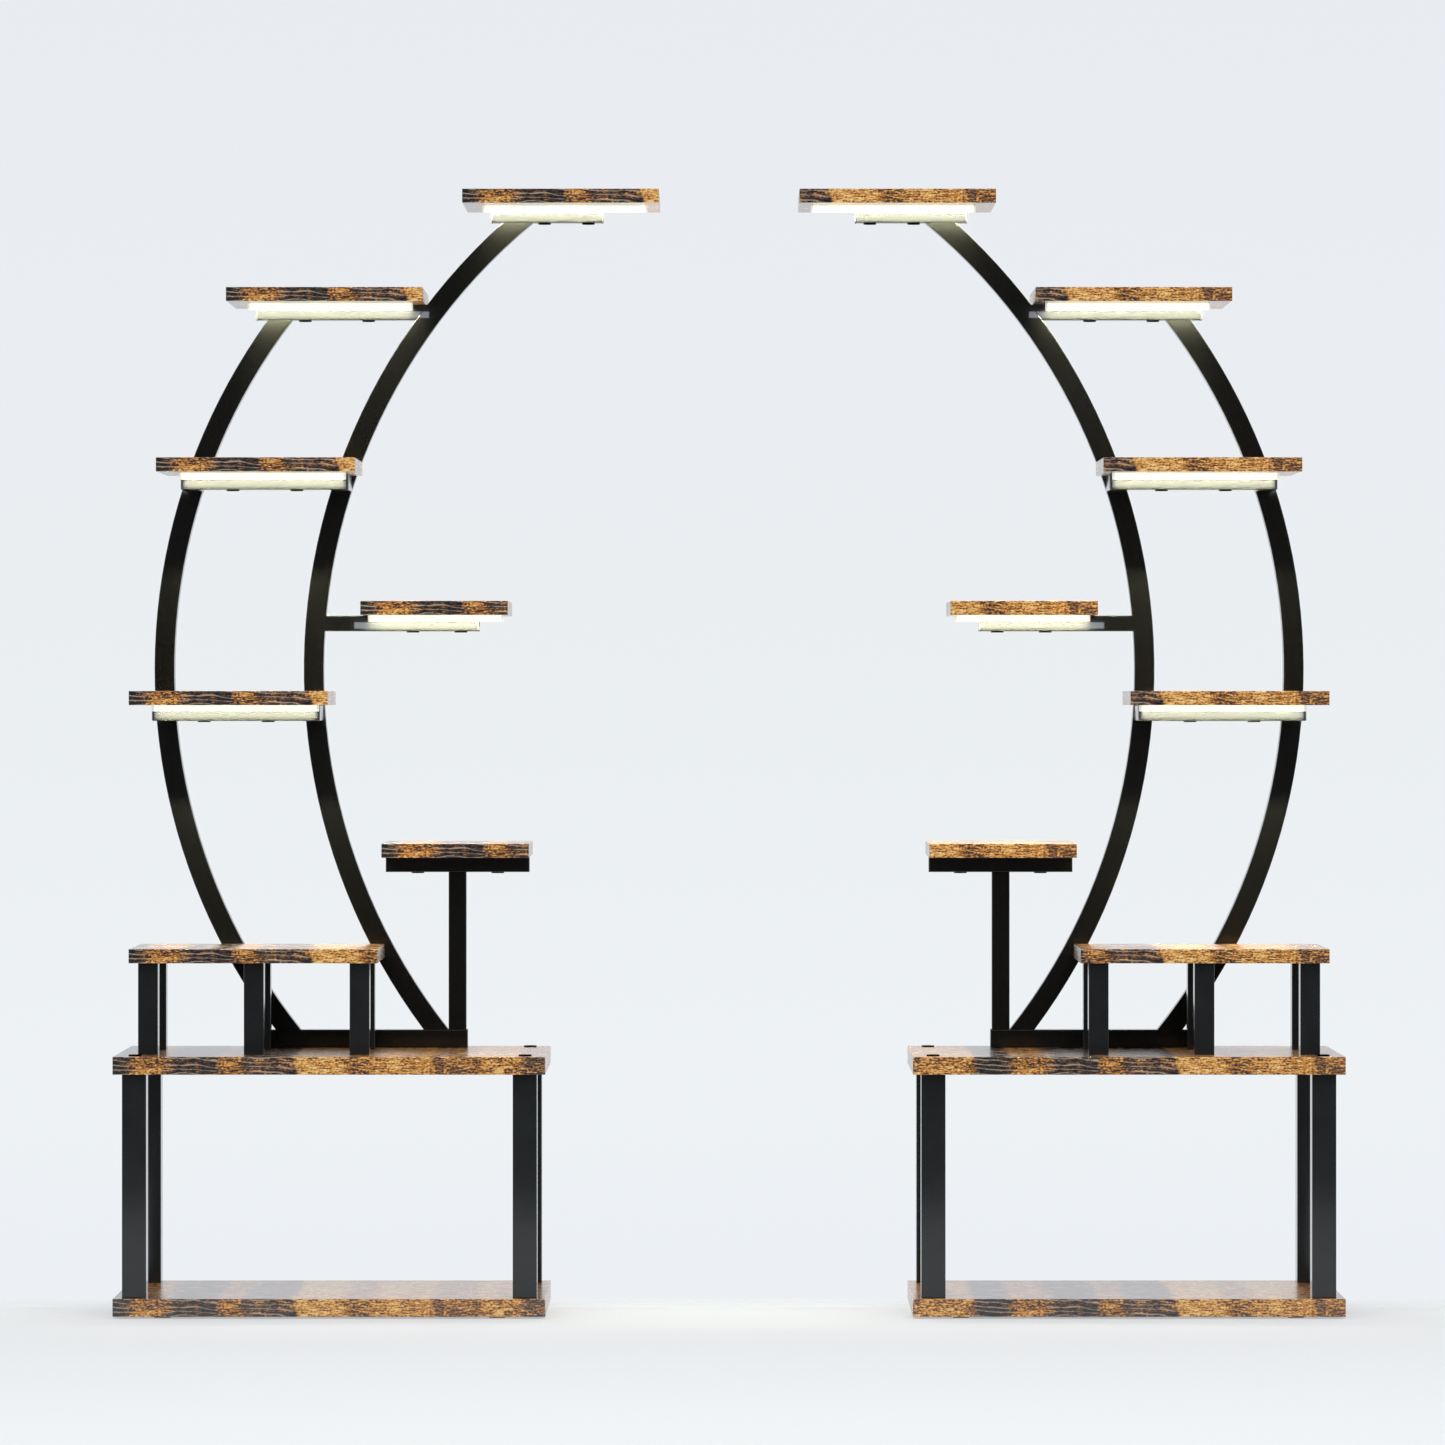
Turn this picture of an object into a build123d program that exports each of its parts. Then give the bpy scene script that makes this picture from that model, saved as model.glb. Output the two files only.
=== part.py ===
from build123d import *
from math import sqrt
import os

# Pair of curved plant stands with grow lights. Lengths are in millimetres.
# The origin is on the floor, midway between the two stands and midway from front to back.
# X runs along the set, -Y is the front and +Z is up. The right-hand stand is modelled,
# at positive X, and the left-hand one is its mirror image.

# Base and bench: two equal boards, held apart by four square posts
stand_gap = 515.0
board_length = 606.0
board_depth = 306.0
board_thickness = 25.0
pad_height = 3.0
pad_side = 22.0
pad_inset = 68.0
pad_side_inset = 32.0
post_side = 34.0
post_height = 314.0
post_wall = 1.5
post_end_inset = 12.0
post_front_inset = 13.0
post_rear_inset = 8.0

# Riser: a small table of one board on six legs, standing on the bench
riser_length = 350.0
riser_depth = 205.0
riser_thickness = 20.0
riser_end_inset = 19.0
riser_frame_gap = 5.0
leg_side = 28.0
leg_height = 129.5
leg_wall = 1.2
leg_end_inset = 12.0
leg_front_inset = 15.0
leg_rear_inset = 18.0
leg_columns = 3
end_plate = 3.0

# Welded frame: a rail on the bench, two bent tubes, a short column and the shelf beams
frame_setback = 250.0
frame_depth = 25.0
frame_wall = 1.2
rail_length = 293.5
rail_height = 26.0
column_inset = 120.0
column_width = 25.5
arc_width = 28.5
arc_centre_rise = 543.5
inner_arc_radius = 863.5
outer_arc_radius = 856.5
outer_foot_inset = 55.5
beam_height = 22.5
beam_overhang = 14.8
top_beam_length = 157.5
side_arm_length = 222.0
column_beam_length = 203.0
bracket_reach = 100.0
bracket_corner = 8.0

# Shelves: the height of each underside over the bench, and how far each stands off its beam
shelf_depth = 200.0
shelf_thickness = 20.0
long_shelf_length = 280.0
short_shelf_length = 210.0
top_shelf_rise = 1208.0
second_shelf_rise = 1068.0
third_shelf_rise = 821.5
side_shelf_rise = 621.0
fourth_shelf_rise = 492.5
column_shelf_rise = 275.0
top_shelf_shift = 21.0
third_shelf_shift = 6.0
fourth_shelf_shift = 3.3
side_shelf_overhang = 45.4
shelf_arc_gap = 3.0

# Light bars: an aluminium channel, a strip of diodes, a diffuser and two end caps
long_light_length = 236.0
short_light_length = 194.0
light_shift = 5.0
light_beam_gap = 14.0
light_depth = 16.0
light_height = 9.0
light_corner = 2.5
diffuser_wall = 1.2
channel_height = 3.0
channel_wall = 1.0
strip_depth = 8.0
strip_thickness = 1.0
light_cap = 3.0
light_clearance = 0.2

# Fasteners and tube plugs. Heads, shanks and bolt holes have few sides, to keep the part light.
bolt_radius = 3.0
bolt_clearance = 0.25
head_radius = 9.25
head_height = 3.4
head_taper = 30.0
head_sides = 12
shank_sides = 6
bolt_bite = 12.0
screw_head_radius = 5.5
screw_head_height = 2.5
top_bolt_inset = 20.0
top_bolt_pitch = 63.0
beam_bolt_pitch = 91.0
side_bolt_pitch = 69.0
column_bolt_pitch = 115.0
rail_bolt_pitch = 118.0
rail_bolt_count = 3
plug_flange = 1.5
plug_length = 10.0
plug_clearance = 0.2
overrun = 2.0

# Bolt holes and the sunk seats of screws
hole_radius = bolt_radius + bolt_clearance
sunk_radius = screw_head_radius + bolt_clearance

# Levels
bench_low = pad_height + board_thickness + post_height
bench_top = bench_low + board_thickness
leg_top = bench_top + leg_height
rail_top = bench_top + rail_height
arc_level = bench_top + arc_centre_rise

# Places from front to back
overall_depth = frame_setback + (frame_depth + shelf_depth) / 2
front_y = -overall_depth / 2
board_y = front_y + board_depth / 2
frame_front_y = front_y + frame_setback
frame_y = frame_front_y + frame_depth / 2
bar_y = frame_front_y - bracket_reach + frame_depth / 2
front_shelf_y = frame_front_y - shelf_depth / 2
riser_y = frame_front_y - riser_frame_gap - riser_depth / 2

# Places along the set
base_inner_x = stand_gap / 2
base_outer_x = base_inner_x + board_length
board_x = base_inner_x + board_length / 2
riser_outer_x = base_outer_x - riser_end_inset
riser_x = riser_outer_x - riser_length / 2
rail_inner_x = base_inner_x + column_inset
rail_outer_x = rail_inner_x + rail_length
column_x = rail_inner_x + column_width / 2


def chord(radius, level):
    """Distance of a circle about the arcs' level from its centre line, at a height."""
    return sqrt(radius ** 2 - (level - arc_level) ** 2)


# The inner arc's foot starts at the column, and the outer arc's foot near the rail's end
inner_arc_x = rail_inner_x + column_width - chord(inner_arc_radius - arc_width, rail_top)
outer_arc_x = rail_outer_x - outer_foot_inset - chord(outer_arc_radius - arc_width, rail_top)

# Undersides of the shelves, and of the beams that carry them
top_shelf_low = bench_top + top_shelf_rise
second_shelf_low = bench_top + second_shelf_rise
third_shelf_low = bench_top + third_shelf_rise
side_shelf_low = bench_top + side_shelf_rise
fourth_shelf_low = bench_top + fourth_shelf_rise
column_shelf_low = bench_top + column_shelf_rise
top_beam_low = top_shelf_low - beam_height
second_beam_low = second_shelf_low - beam_height

# Ends of the beams
top_beam_outer_x = inner_arc_x + chord(inner_arc_radius, top_beam_low) + beam_overhang
top_beam_inner_x = top_beam_outer_x - top_beam_length
second_beam_outer_x = outer_arc_x + chord(outer_arc_radius, second_beam_low) + beam_overhang
second_beam_inner_x = inner_arc_x + chord(inner_arc_radius, second_beam_low)
side_arm_outer_x = inner_arc_x + inner_arc_radius - arc_width
side_arm_inner_x = side_arm_outer_x - side_arm_length
column_beam_inner_x = column_x - column_beam_length / 2


def arm_places(shelf_low):
    """Middles of a bracket's two arms, each on the middle of an arc."""
    level = shelf_low - beam_height / 2
    inner = inner_arc_x + chord(inner_arc_radius - arc_width / 2, level)
    outer = outer_arc_x + chord(outer_arc_radius - arc_width / 2, level)
    return inner, outer


third_bracket_x = sum(arm_places(third_shelf_low)) / 2
fourth_bracket_x = sum(arm_places(fourth_shelf_low)) / 2

# Middles of the shelves
top_shelf_x = (top_beam_inner_x + top_beam_outer_x) / 2 - top_shelf_shift
second_shelf_inner_x = inner_arc_x + chord(inner_arc_radius, second_shelf_low) + shelf_arc_gap
second_shelf_x = second_shelf_inner_x + long_shelf_length / 2
third_shelf_x = third_bracket_x + third_shelf_shift
fourth_shelf_x = fourth_bracket_x + fourth_shelf_shift
side_shelf_x = side_arm_inner_x - side_shelf_overhang + short_shelf_length / 2


def row(middle, pitch, count=2):
    """Evenly spaced places about a middle."""
    return [middle + pitch * (i - (count - 1) / 2) for i in range(count)]


top_bolts = row(top_beam_inner_x + top_bolt_inset + top_bolt_pitch / 2, top_bolt_pitch)
second_bolts = row((second_beam_inner_x + second_beam_outer_x) / 2, beam_bolt_pitch)
third_bolts = row(third_bracket_x, beam_bolt_pitch)
fourth_bolts = row(fourth_bracket_x, beam_bolt_pitch)
side_bolts = row(side_shelf_x, side_bolt_pitch)
column_bolts = row(column_x, column_bolt_pitch)
rail_bolts_x = row((rail_inner_x + rail_outer_x) / 2, rail_bolt_pitch, rail_bolt_count)

post_xs = row(board_x, board_length - 2 * post_end_inset - post_side)
post_front_y = front_y + post_front_inset + post_side / 2
post_rear_y = front_y + board_depth - post_rear_inset - post_side / 2
leg_pitch = (riser_length - 2 * leg_end_inset - leg_side) / (leg_columns - 1)
leg_xs = row(riser_x, leg_pitch, leg_columns)
leg_front_y = riser_y - riser_depth / 2 + leg_front_inset + leg_side / 2
leg_rear_y = riser_y + riser_depth / 2 - leg_rear_inset - leg_side / 2
leg_places = [(x, y) for x in leg_xs for y in (leg_front_y, leg_rear_y)]
post_places = [(x, y) for x in post_xs for y in (post_front_y, post_rear_y)]
pad_places = [
    (x, y)
    for x in row(board_x, board_length - 2 * pad_inset)
    for y in row(board_y, board_depth - 2 * pad_side_inset)
]

os.makedirs("parts", exist_ok=True)


def write_pair(name, piece):
    """Write a piece of the right-hand stand and its mirror image for the left-hand one."""
    piece.part.label = "right_" + name
    export_step(piece.part, "parts/right_" + name + ".step")
    with BuildPart() as twin:
        mirror(piece.part, about=Plane.YZ)
    twin.part.label = "left_" + name
    export_step(twin.part, "parts/left_" + name + ".step")


def write_shared(name, piece):
    """Write small pieces that both stands use as one group of separate solids."""
    with BuildPart() as group:
        add(piece.part)
        mirror(piece.part, about=Plane.YZ)
    group.part.label = name
    export_step(group.part, "parts/" + name + ".step")


def board(x, y, low, length, depth, thickness, through=(), blind=(), sunk=()):
    """Board with holes through it, and with blind holes and sunk seats for screws from below."""
    with BuildPart() as panel:
        with BuildSketch(Plane.XY.offset(low)):
            with Locations((x, y)):
                Rectangle(length, depth)
        extrude(amount=thickness)
        if through:
            with BuildSketch(Plane.XY.offset(low)):
                with Locations(*through):
                    RegularPolygon(hole_radius, shank_sides)
            extrude(amount=thickness, mode=Mode.SUBTRACT)
        if blind:
            with BuildSketch(Plane.XY.offset(low)):
                with Locations(*blind):
                    RegularPolygon(hole_radius, shank_sides)
            extrude(amount=bolt_bite + bolt_clearance, mode=Mode.SUBTRACT)
        if sunk:
            with BuildSketch(Plane.XY.offset(low)):
                with Locations(*sunk):
                    RegularPolygon(sunk_radius, shank_sides)
            extrude(amount=screw_head_height, mode=Mode.SUBTRACT)
    return panel


def upright_tubes(places, low, height, side, wall):
    """Square tubes with a threaded plate welded into each end."""
    with BuildPart() as tubes:
        with BuildSketch(Plane.XY.offset(low)):
            with Locations(*places):
                Rectangle(side, side)
        extrude(amount=height)
        with BuildSketch(Plane.XY.offset(low + end_plate)):
            with Locations(*places):
                Rectangle(side - 2 * wall, side - 2 * wall)
        extrude(amount=height - 2 * end_plate, mode=Mode.SUBTRACT)
        with BuildSketch(Plane.XY.offset(low)):
            with Locations(*places):
                RegularPolygon(hole_radius, shank_sides)
        extrude(amount=height, mode=Mode.SUBTRACT)
    return tubes


def level_tube(inner_x, outer_x, low, height, bolts, y=frame_y, drilled=None):
    """Box tube along X, with bolt holes through its lower wall, or through both."""
    with BuildPart() as tube:
        with BuildSketch(Plane.YZ.offset(inner_x)):
            with Locations((y, low + height / 2)):
                Rectangle(frame_depth, height)
                Rectangle(
                    frame_depth - 2 * frame_wall, height - 2 * frame_wall, mode=Mode.SUBTRACT
                )
        extrude(amount=outer_x - inner_x)
        with BuildSketch(Plane.XY.offset(low)):
            with Locations(*[(x, y) for x in bolts]):
                RegularPolygon(hole_radius, shank_sides)
        extrude(amount=drilled or height, mode=Mode.SUBTRACT)
    return tube


def arc_outline(centre_x, radius, width, low, high):
    """Band between two circles, cut level at both ends, drawn in X and Z."""
    inside = radius - width
    with BuildSketch() as outline:
        with BuildLine():
            outer = ThreePointArc(
                (centre_x + chord(radius, low), low),
                (centre_x + radius, arc_level),
                (centre_x + chord(radius, high), high),
            )
            inner = ThreePointArc(
                (centre_x + chord(inside, high), high),
                (centre_x + inside, arc_level),
                (centre_x + chord(inside, low), low),
            )
            Line(outer @ 1, inner @ 0)
            Line(inner @ 1, outer @ 0)
        make_face()
    return outline.sketch


def arc_tube(centre_x, radius, high):
    """Bent box tube, level at both ends, from the rail up to a beam."""
    frame_plane = Plane.XZ.offset(-frame_y)
    with BuildPart() as tube:
        with BuildSketch(frame_plane):
            add(arc_outline(centre_x, radius, arc_width, rail_top, high))
        extrude(amount=frame_depth / 2, both=True)
        with BuildSketch(frame_plane):
            add(
                arc_outline(
                    centre_x,
                    radius - frame_wall,
                    arc_width - 2 * frame_wall,
                    rail_top - overrun,
                    high + overrun,
                )
            )
        extrude(amount=frame_depth / 2 - frame_wall, both=True, mode=Mode.SUBTRACT)
    return tube


def bracket_plan(arms, inset):
    """A bracket seen from above: a bar in front and an arm back to each arc."""
    inner_x, outer_x = arms
    middle = (inner_x + outer_x) / 2
    span = outer_x - inner_x
    with BuildSketch() as plan:
        with Locations((middle, frame_front_y)):
            Rectangle(
                span + frame_depth - 2 * inset,
                bracket_reach - inset,
                align=(Align.CENTER, Align.MAX),
            )
        front = plan.vertices().group_by(Axis.Y)[0]
        fillet(front, bracket_corner - inset)
        with Locations((middle, frame_front_y)):
            Rectangle(
                span - frame_depth + 2 * inset,
                bracket_reach - frame_depth + inset,
                align=(Align.CENTER, Align.MAX),
                mode=Mode.SUBTRACT,
            )
    return plan.sketch


def bracket(shelf_low, bolts):
    """Tube bent to a U, welded to the front of both arcs, that carries a shelf ahead of them."""
    arms = arm_places(shelf_low)
    low = shelf_low - beam_height
    with BuildPart() as tube:
        with BuildSketch(Plane.XY.offset(low)):
            add(bracket_plan(arms, 0))
        extrude(amount=beam_height)
        with BuildSketch(Plane.XY.offset(low + frame_wall)):
            add(bracket_plan(arms, frame_wall))
        extrude(amount=beam_height - 2 * frame_wall, mode=Mode.SUBTRACT)
        with BuildSketch(Plane.XY.offset(low)):
            with Locations(*[(x, bar_y) for x in bolts]):
                RegularPolygon(hole_radius, shank_sides)
        extrude(amount=beam_height, mode=Mode.SUBTRACT)
    return tube


# Base board on its pads, the posts and the bench board
base_board = board(
    board_x,
    board_y,
    pad_height,
    board_length,
    board_depth,
    board_thickness,
    through=post_places,
    sunk=post_places,
)
write_pair("base_board", base_board)

bench_board = board(
    board_x,
    board_y,
    bench_low,
    board_length,
    board_depth,
    board_thickness,
    through=post_places + leg_places + [(x, frame_y) for x in rail_bolts_x],
    sunk=leg_places,
)
write_pair("bench_board", bench_board)

post_names = ("front_inner_post", "rear_inner_post", "front_outer_post", "rear_outer_post")
for post_name, post_place in zip(post_names, post_places):
    post = upright_tubes([post_place], pad_height + board_thickness, post_height, post_side, post_wall)
    write_pair(post_name, post)

# Riser: six legs and a board
riser_legs = upright_tubes(leg_places, bench_top, leg_height, leg_side, leg_wall)
write_pair("riser_legs", riser_legs)

riser_board = board(
    riser_x, riser_y, leg_top, riser_length, riser_depth, riser_thickness, blind=leg_places
)
write_pair("riser_board", riser_board)

# Rail, column and the two arcs
frame_rail = level_tube(
    rail_inner_x, rail_outer_x, bench_top, rail_height, rail_bolts_x, drilled=rail_height / 2
)
write_pair("frame_rail", frame_rail)

with BuildPart() as column:
    with BuildSketch(Plane.XY.offset(rail_top)):
        with Locations((column_x, frame_y)):
            Rectangle(column_width, frame_depth)
            Rectangle(
                column_width - 2 * frame_wall, frame_depth - 2 * frame_wall, mode=Mode.SUBTRACT
            )
    extrude(amount=column_shelf_low - beam_height - rail_top)
write_pair("column", column)

inner_arc = arc_tube(inner_arc_x, inner_arc_radius, top_beam_low)
write_pair("inner_arc", inner_arc)

outer_arc = arc_tube(outer_arc_x, outer_arc_radius, second_beam_low)
write_pair("outer_arc", outer_arc)

# Beams under the shelves
top_beam = level_tube(
    top_beam_inner_x, top_beam_outer_x, top_beam_low, beam_height, top_bolts
)
write_pair("top_beam", top_beam)

column_beam = level_tube(
    column_beam_inner_x,
    column_beam_inner_x + column_beam_length,
    column_shelf_low - beam_height,
    beam_height,
    column_bolts,
)
write_pair("column_beam", column_beam)

# The second beam's inner end is hollowed to fit round the outside of the inner arc
second_tube = level_tube(
    second_beam_inner_x - beam_height,
    second_beam_outer_x,
    second_beam_low,
    beam_height,
    second_bolts,
)
with BuildPart() as second_beam:
    add(second_tube.part)
    with BuildSketch(Plane.XZ.offset(-frame_y)):
        with Locations((inner_arc_x, arc_level)):
            Circle(inner_arc_radius)
    extrude(amount=frame_depth, both=True, mode=Mode.SUBTRACT)
write_pair("second_beam", second_beam)

# The side arm's outer end is rounded to fit the inside of the inner arc
side_tube = level_tube(
    side_arm_inner_x,
    side_arm_outer_x + overrun,
    side_shelf_low - beam_height,
    beam_height,
    side_bolts,
)
with BuildPart() as side_arm:
    add(side_tube.part)
    with BuildSketch(Plane.XZ.offset(-frame_y)):
        with Locations((inner_arc_x, arc_level)):
            Circle(inner_arc_radius - arc_width)
    extrude(amount=frame_depth, both=True, mode=Mode.INTERSECT)
write_pair("side_arm", side_arm)

third_bracket = bracket(third_shelf_low, third_bolts)
write_pair("third_bracket", third_bracket)

fourth_bracket = bracket(fourth_shelf_low, fourth_bolts)
write_pair("fourth_bracket", fourth_bracket)

# Shelves: name, middle in X, underside, length, middle in Y, and the X and Y of the bolts.
# The third and fourth stand in front of the arcs, and the others are centred on the frame.
shelves = [
    ("top", top_shelf_x, top_shelf_low, long_shelf_length, frame_y, top_bolts, frame_y),
    ("second", second_shelf_x, second_shelf_low, long_shelf_length, frame_y, second_bolts, frame_y),
    ("third", third_shelf_x, third_shelf_low, long_shelf_length, front_shelf_y, third_bolts, bar_y),
    ("fourth", fourth_shelf_x, fourth_shelf_low, long_shelf_length, front_shelf_y, fourth_bolts, bar_y),
    ("side", side_shelf_x, side_shelf_low, short_shelf_length, frame_y, side_bolts, frame_y),
    ("column", column_x, column_shelf_low, short_shelf_length, frame_y, column_bolts, frame_y),
]
for shelf_name, x, low, length, y, bolts, bolt_y in shelves:
    shelf = board(
        x,
        y,
        low,
        length,
        shelf_depth,
        shelf_thickness,
        blind=[(bolt_x, bolt_y) for bolt_x in bolts],
    )
    write_pair(shelf_name + "_shelf", shelf)

# Light bars, each under a shelf and ahead of its beam
lights = [
    (top_shelf_x - light_shift, top_shelf_low, long_light_length, frame_y),
    (second_shelf_x - light_shift, second_shelf_low, long_light_length, frame_y),
    (third_shelf_x - light_shift, third_shelf_low, long_light_length, bar_y),
    (fourth_shelf_x - light_shift, fourth_shelf_low, long_light_length, bar_y),
    (side_shelf_x, side_shelf_low, short_light_length, frame_y),
]
light_setback = (frame_depth + light_depth) / 2 + light_beam_gap
channel_depth = light_depth - 2 * (diffuser_wall + light_clearance)

with BuildPart() as light_channels:
    for x, low, length, y in lights:
        with BuildSketch(Plane.YZ.offset(x - length / 2 + light_cap)):
            with Locations((y - light_setback, low)):
                Rectangle(channel_depth, channel_height, align=(Align.CENTER, Align.MAX))
            with Locations((y - light_setback, low - channel_wall)):
                Rectangle(
                    channel_depth - 2 * channel_wall,
                    channel_height - channel_wall,
                    align=(Align.CENTER, Align.MAX),
                    mode=Mode.SUBTRACT,
                )
        extrude(amount=length - 2 * light_cap)
write_shared("light_channels", light_channels)

with BuildPart() as led_strips:
    for x, low, length, y in lights:
        with BuildSketch(Plane.YZ.offset(x - length / 2 + light_cap)):
            with Locations((y - light_setback, low - channel_wall)):
                Rectangle(strip_depth, strip_thickness, align=(Align.CENTER, Align.MAX))
        extrude(amount=length - 2 * light_cap)
write_shared("led_strips", led_strips)


def light_outline():
    """Section of a light bar with its two lower corners cut off, hung from its top middle."""
    with BuildSketch() as outline:
        Rectangle(light_depth, light_height, align=(Align.CENTER, Align.MAX))
        chamfer(outline.vertices().group_by(Axis.Y)[0], light_corner)
    return outline.sketch


with BuildPart() as light_diffusers:
    for x, low, length, y in lights:
        with BuildSketch(Plane.YZ.offset(x - length / 2 + light_cap)):
            with Locations((y - light_setback, low)):
                add(light_outline())
                Rectangle(
                    light_depth - 2 * diffuser_wall,
                    light_height - diffuser_wall,
                    align=(Align.CENTER, Align.MAX),
                    mode=Mode.SUBTRACT,
                )
        extrude(amount=length - 2 * light_cap)
write_shared("light_diffusers", light_diffusers)

with BuildPart() as light_end_caps:
    for x, low, length, y in lights:
        for end_x in row(x, length - light_cap):
            with BuildSketch(Plane.YZ.offset(end_x - light_cap / 2)):
                with Locations((y - light_setback, low)):
                    add(light_outline())
            extrude(amount=light_cap)
write_shared("light_end_caps", light_end_caps)


def bolt(place, facing, reach):
    """Round-headed bolt: from the place of its seat the shank goes the way that it faces."""
    seat = Plane(origin=place, x_dir=(1, 0, 0), z_dir=(0, 0, facing))
    back = Plane(origin=place, x_dir=(1, 0, 0), z_dir=(0, 0, -facing))
    with BuildPart() as piece:
        with BuildSketch(seat):
            RegularPolygon(bolt_radius, shank_sides)
        extrude(amount=reach)
        with BuildSketch(back):
            RegularPolygon(head_radius, head_sides)
        extrude(amount=head_height, taper=head_taper)
    return piece.part


# Bolts up through the beams into the shelves
with BuildPart() as shelf_bolts:
    for _, _, low, _, _, bolts, bolt_y in shelves:
        for x in bolts:
            add(bolt((x, bolt_y, low - beam_height), 1, beam_height + bolt_bite))
write_shared("shelf_bolts", shelf_bolts)

# The same bolts, down through the bench into the posts and up through it into the rail
with BuildPart() as bench_bolts:
    for x, y in post_places:
        add(bolt((x, y, bench_top), -1, board_thickness + bolt_bite))
write_shared("bench_bolts", bench_bolts)

with BuildPart() as rail_bolts:
    for x in rail_bolts_x:
        add(bolt((x, frame_y, bench_low), 1, board_thickness + bolt_bite))
write_shared("rail_bolts", rail_bolts)

# Flat-headed screws sunk into the base board, up into the posts, and into the bench, up into the legs
screw_groups = [("base_screws", pad_height, post_places), ("riser_screws", bench_low, leg_places)]
for screw_name, low, places in screw_groups:
    with BuildPart() as screws:
        with BuildSketch(Plane.XY.offset(low)):
            with Locations(*places):
                RegularPolygon(screw_head_radius, shank_sides)
        extrude(amount=screw_head_height)
        with BuildSketch(Plane.XY.offset(low + screw_head_height)):
            with Locations(*places):
                RegularPolygon(bolt_radius, shank_sides)
        extrude(amount=board_thickness + bolt_bite)
    write_shared(screw_name, screws)

# Studs that hold the riser board on its legs
with BuildPart() as riser_studs:
    with BuildSketch(Plane.XY.offset(leg_top - bolt_bite)):
        with Locations(*leg_places):
            RegularPolygon(bolt_radius, shank_sides)
    extrude(amount=2 * bolt_bite)
write_shared("riser_studs", riser_studs)

# Pads under the base board
with BuildPart() as foot_pads:
    with BuildSketch():
        with Locations(*pad_places):
            Rectangle(pad_side, pad_side)
    extrude(amount=pad_height)
write_shared("foot_pads", foot_pads)

# Plugs that close the open tube ends: place of the end, level, height and side it faces
open_ends = [
    (top_beam_inner_x, top_beam_low, beam_height, -1),
    (top_beam_outer_x, top_beam_low, beam_height, 1),
    (second_beam_outer_x, second_beam_low, beam_height, 1),
    (side_arm_inner_x, side_shelf_low - beam_height, beam_height, -1),
    (column_beam_inner_x, column_shelf_low - beam_height, beam_height, -1),
    (column_beam_inner_x + column_beam_length, column_shelf_low - beam_height, beam_height, 1),
    (rail_inner_x, bench_top, rail_height, -1),
    (rail_outer_x, bench_top, rail_height, 1),
]
with BuildPart() as tube_plugs:
    for x, low, height, facing in open_ends:
        with BuildSketch(Plane.YZ.offset(x)):
            with Locations((frame_y, low + height / 2)):
                Rectangle(frame_depth, height)
        extrude(amount=facing * plug_flange)
        with BuildSketch(Plane.YZ.offset(x)):
            with Locations((frame_y, low + height / 2)):
                Rectangle(
                    frame_depth - 2 * (frame_wall + plug_clearance),
                    height - 2 * (frame_wall + plug_clearance),
                )
        extrude(amount=-facing * plug_length)
write_shared("tube_plugs", tube_plugs)
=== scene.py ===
from math import pi, radians

import bmesh
import bpy
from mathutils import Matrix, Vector


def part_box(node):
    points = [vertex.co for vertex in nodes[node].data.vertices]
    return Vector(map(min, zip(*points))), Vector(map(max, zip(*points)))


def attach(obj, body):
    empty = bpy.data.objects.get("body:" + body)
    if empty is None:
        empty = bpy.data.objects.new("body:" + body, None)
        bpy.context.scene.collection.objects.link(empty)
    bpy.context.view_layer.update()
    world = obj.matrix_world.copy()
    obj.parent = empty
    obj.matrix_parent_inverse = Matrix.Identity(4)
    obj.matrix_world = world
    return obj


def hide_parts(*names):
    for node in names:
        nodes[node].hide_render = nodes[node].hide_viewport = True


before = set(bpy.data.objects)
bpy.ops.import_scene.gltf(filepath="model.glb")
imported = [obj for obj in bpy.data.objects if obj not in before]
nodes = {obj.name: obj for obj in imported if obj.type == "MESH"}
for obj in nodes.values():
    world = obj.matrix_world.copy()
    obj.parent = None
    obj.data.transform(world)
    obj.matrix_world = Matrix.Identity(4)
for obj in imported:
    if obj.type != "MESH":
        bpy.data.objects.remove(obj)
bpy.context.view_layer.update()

# Pair of curved plant stands with grow lights. Lengths are in metres, mm is a thousandth.
mm = 0.001
# Points nearer than this to each other, or to a level, count as the same
touch = 0.01 * mm
# Share of its length that an edge runs along an axis, to count as running along it
mostly = 0.9
# Share of a face's direction that points along an axis, to count as facing that way
facing = 0.99
# Faces that differ by less than this in direction are one flat face
flat_angle = radians(0.6)
# Edges where faces meet at more than this are rounded
corner_angle = radians(28)
# Edges where faces meet at more than this are shaded sharp
sharp_angle = radians(35)
sides = ("left", "right")


# Small helpers

def linear(code):
    """An sRGB hex colour as the linear colour that a socket takes."""
    parts = [int(code[i:i + 2], 16) / 255 for i in (1, 3, 5)]
    return [p / 12.92 if p <= 0.04045 else ((p + 0.055) / 1.055) ** 2.4 for p in parts] + [1.0]


def only(piece):
    """Selects one piece and makes it the active one."""
    bpy.ops.object.select_all(action="DESELECT")
    piece.select_set(True)
    bpy.context.view_layer.objects.active = piece


def edit(piece, kind):
    """Opens a piece for editing with nothing selected, and gives its mesh."""
    only(piece)
    bpy.ops.object.mode_set(mode="EDIT")
    bpy.ops.mesh.select_mode(type=kind)
    bpy.ops.mesh.select_all(action="DESELECT")
    shape = bmesh.from_edit_mesh(piece.data)
    shape.normal_update()
    return shape


def close(piece):
    """Ends the editing of a piece."""
    bmesh.update_edit_mesh(piece.data)
    bpy.ops.object.mode_set(mode="OBJECT")


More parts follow.
